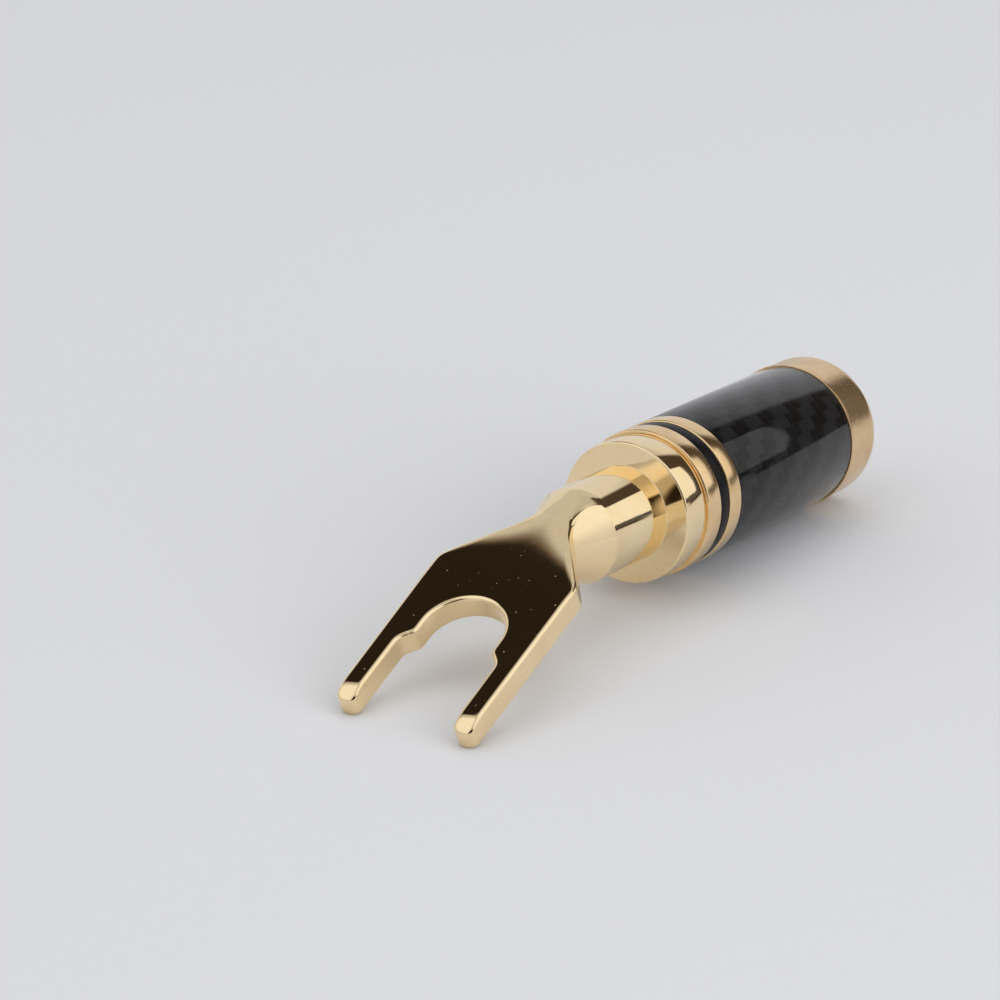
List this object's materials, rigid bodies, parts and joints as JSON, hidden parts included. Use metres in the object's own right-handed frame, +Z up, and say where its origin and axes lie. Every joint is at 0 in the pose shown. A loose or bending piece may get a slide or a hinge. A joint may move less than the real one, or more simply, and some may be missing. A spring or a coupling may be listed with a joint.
{
  "type": "spade connector",
  "caption": "Gold-plated spade connector for a loudspeaker cable, with an angled fork, a black ring and a screw-on carbon fibre shell.",
  "frame": {"origin": "on the floor, below the middle of the bounding box, with the plug lying at rest on its fork tips and its rear cap", "axes": "+X from the cable end towards the fork's tips, +Z up, the plug's plane of symmetry is y = 0"},
  "size_m": [0.0742, 0.015, 0.0161],
  "materials": {
    "gold": "mirror-polished gold plate",
    "shell_gold": "gold plate with a fine orange-peel texture",
    "black_ring": "black anodised, satin",
    "carbon": "carbon fibre twill under clear lacquer",
    "screw_steel": "plain steel"
  },
  "bodies": {
    "terminal": {"fork_terminal": "gold"},
    "shell": {"shell_core": "shell_gold", "colour_ring": "black_ring", "spacer_ring": "shell_gold", "carbon_tube": "carbon", "rear_cap": "shell_gold"},
    "front_screw": {"wire_screw_front": "screw_steel"},
    "rear_screw": {"wire_screw_rear": "screw_steel"}
  },
  "joints": [
    {"name": "shell_slide", "type": "slide", "parent": "terminal", "child": "shell", "axis": [-0.9986, 0, -0.0534], "range_m": [0, 0.024]},
    {"name": "front_screw_drive", "type": "slide", "parent": "terminal", "child": "front_screw", "axis": [0.0534, 0, -0.9986], "range_m": [0, 0.0015]},
    {"name": "rear_screw_drive", "type": "slide", "parent": "terminal", "child": "rear_screw", "axis": [0.0534, 0, -0.9986], "range_m": [0, 0.0015]}
  ]
}
